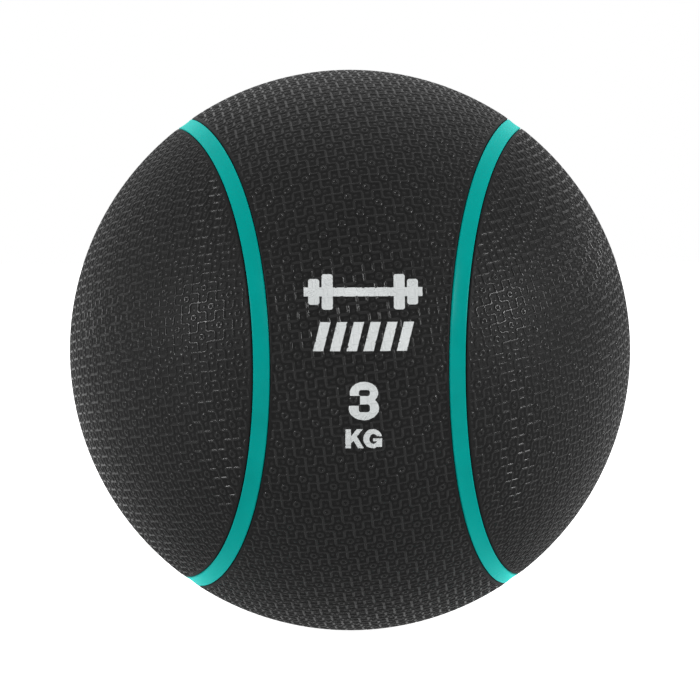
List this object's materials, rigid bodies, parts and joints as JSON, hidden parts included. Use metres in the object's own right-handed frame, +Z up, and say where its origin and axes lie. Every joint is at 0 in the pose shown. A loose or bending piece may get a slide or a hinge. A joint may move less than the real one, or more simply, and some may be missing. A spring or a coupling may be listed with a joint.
{
  "type": "medicine ball",
  "caption": "Round rubber medicine ball with a raised grip texture, two coloured side stripes, a printed weight marking and a removable inflation valve plug.",
  "frame": {"origin": "centre of the ball", "axes": "+Z up, +X to the centre of the right side panel, the printed front faces -Y and the valve is at the rear along +Y"},
  "size_m": [0.23, 0.2298, 0.23],
  "materials": {
    "black_rubber": "matte black moulded rubber with a fine raised pattern",
    "teal_rubber": "smooth satin teal rubber",
    "ballast_rubber": "dense filled rubber, cut and buffed",
    "nylon_thread": "rubber-dipped nylon thread",
    "butyl_rubber": "thin glossy butyl sheet",
    "boot_rubber": "moulded black rubber",
    "plug_rubber": "soft dark grey rubber",
    "white_ink": "flexible white screen-printing ink"
  },
  "bodies": {
    "ball": {"side_panel_left": "black_rubber", "side_panel_right": "black_rubber", "band_panel_front": "black_rubber", "band_panel_rear": "black_rubber", "stripe_left": "teal_rubber", "stripe_right": "teal_rubber", "ballast_shell_front": "ballast_rubber", "ballast_shell_rear": "ballast_rubber", "winding": "nylon_thread", "bladder": "butyl_rubber", "valve_boot": "boot_rubber", "print_emblem": "white_ink", "print_slash_1": "white_ink", "print_slash_2": "white_ink", "print_slash_3": "white_ink", "print_slash_4": "white_ink", "print_slash_5": "white_ink", "print_slash_6": "white_ink", "print_numeral_3": "white_ink", "print_letter_k": "white_ink", "print_letter_g": "white_ink"},
    "plug": {"valve_plug": "plug_rubber"}
  },
  "joints": [
    {"name": "valve_plug_slide", "type": "slide", "parent": "ball", "child": "plug", "axis": [0, 1, 0], "range_m": [0, 0.03]}
  ]
}
